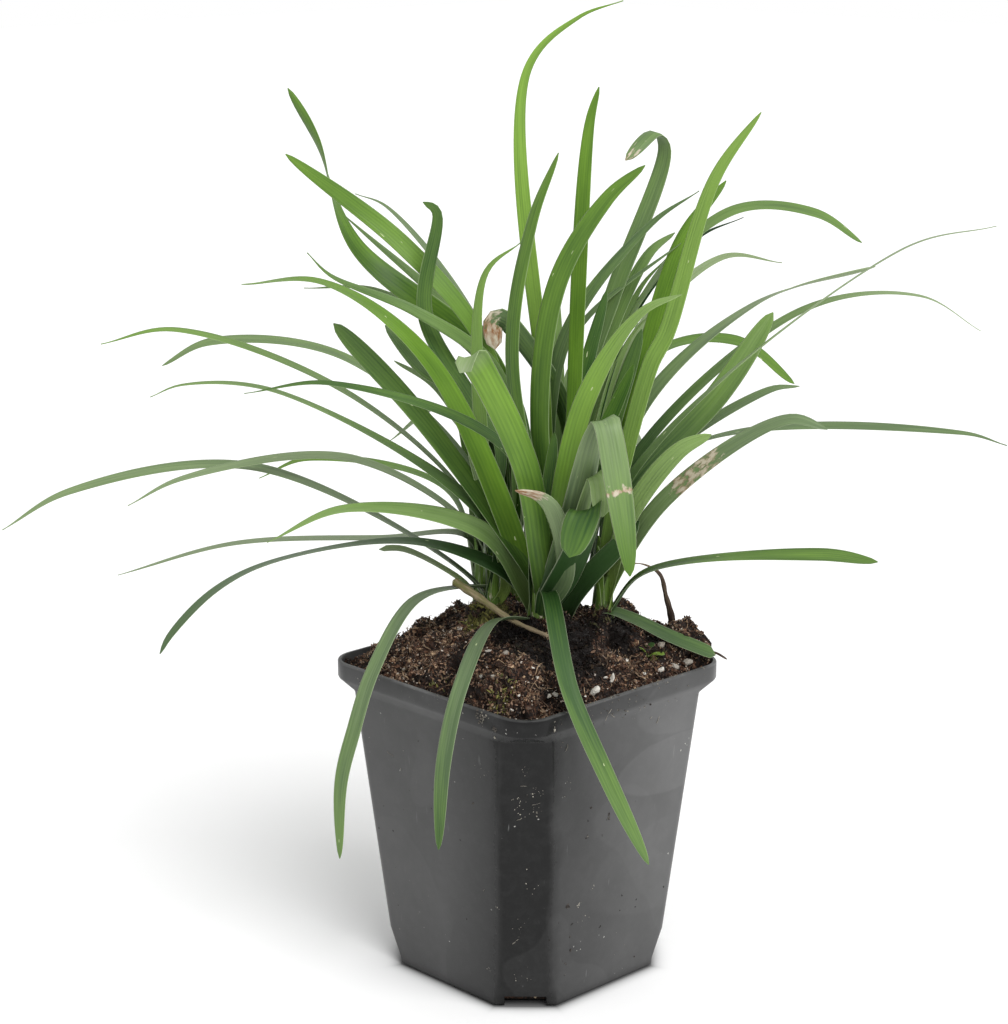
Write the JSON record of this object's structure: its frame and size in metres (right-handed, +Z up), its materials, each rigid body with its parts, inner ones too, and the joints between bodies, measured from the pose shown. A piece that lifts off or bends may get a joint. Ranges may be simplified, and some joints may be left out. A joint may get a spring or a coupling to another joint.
{
  "type": "potted ornamental grass",
  "caption": "Liriope clump of arching strap leaves growing from soil in a tapered square plastic nursery pot with a banded rim and corner drain notches.",
  "frame": {"origin": "middle of the pot's flat underside", "axes": "+Z up; X and Y along the pot's sides; the clump's widest spread runs 46 degrees from +X"},
  "size_m": [0.2439, 0.2612, 0.3014],
  "materials": {
    "pot": "satin injection-moulded polypropylene, dusty",
    "soil": "crumbly dark peat with bark fibre and perlite",
    "leaf": "fresh strap leaf, satin, with fine parallel veins",
    "pale_stalk": "dry, dull",
    "dead_leaf": "dry, dull"
  },
  "bodies": {
    "root": {"pot": "pot", "soil": "soil", "shoot_left": "leaf", "shoot_far_left": "leaf", "shoot_front": "leaf", "shoot_middle": "leaf", "shoot_right": "leaf", "shoot_back_left": "leaf", "shoot_back": "leaf", "shoot_back_right": "leaf", "pale_stalk": "pale_stalk", "dead_leaf": "dead_leaf", "rim_twig": "dead_leaf"}
  },
  "joints": []
}
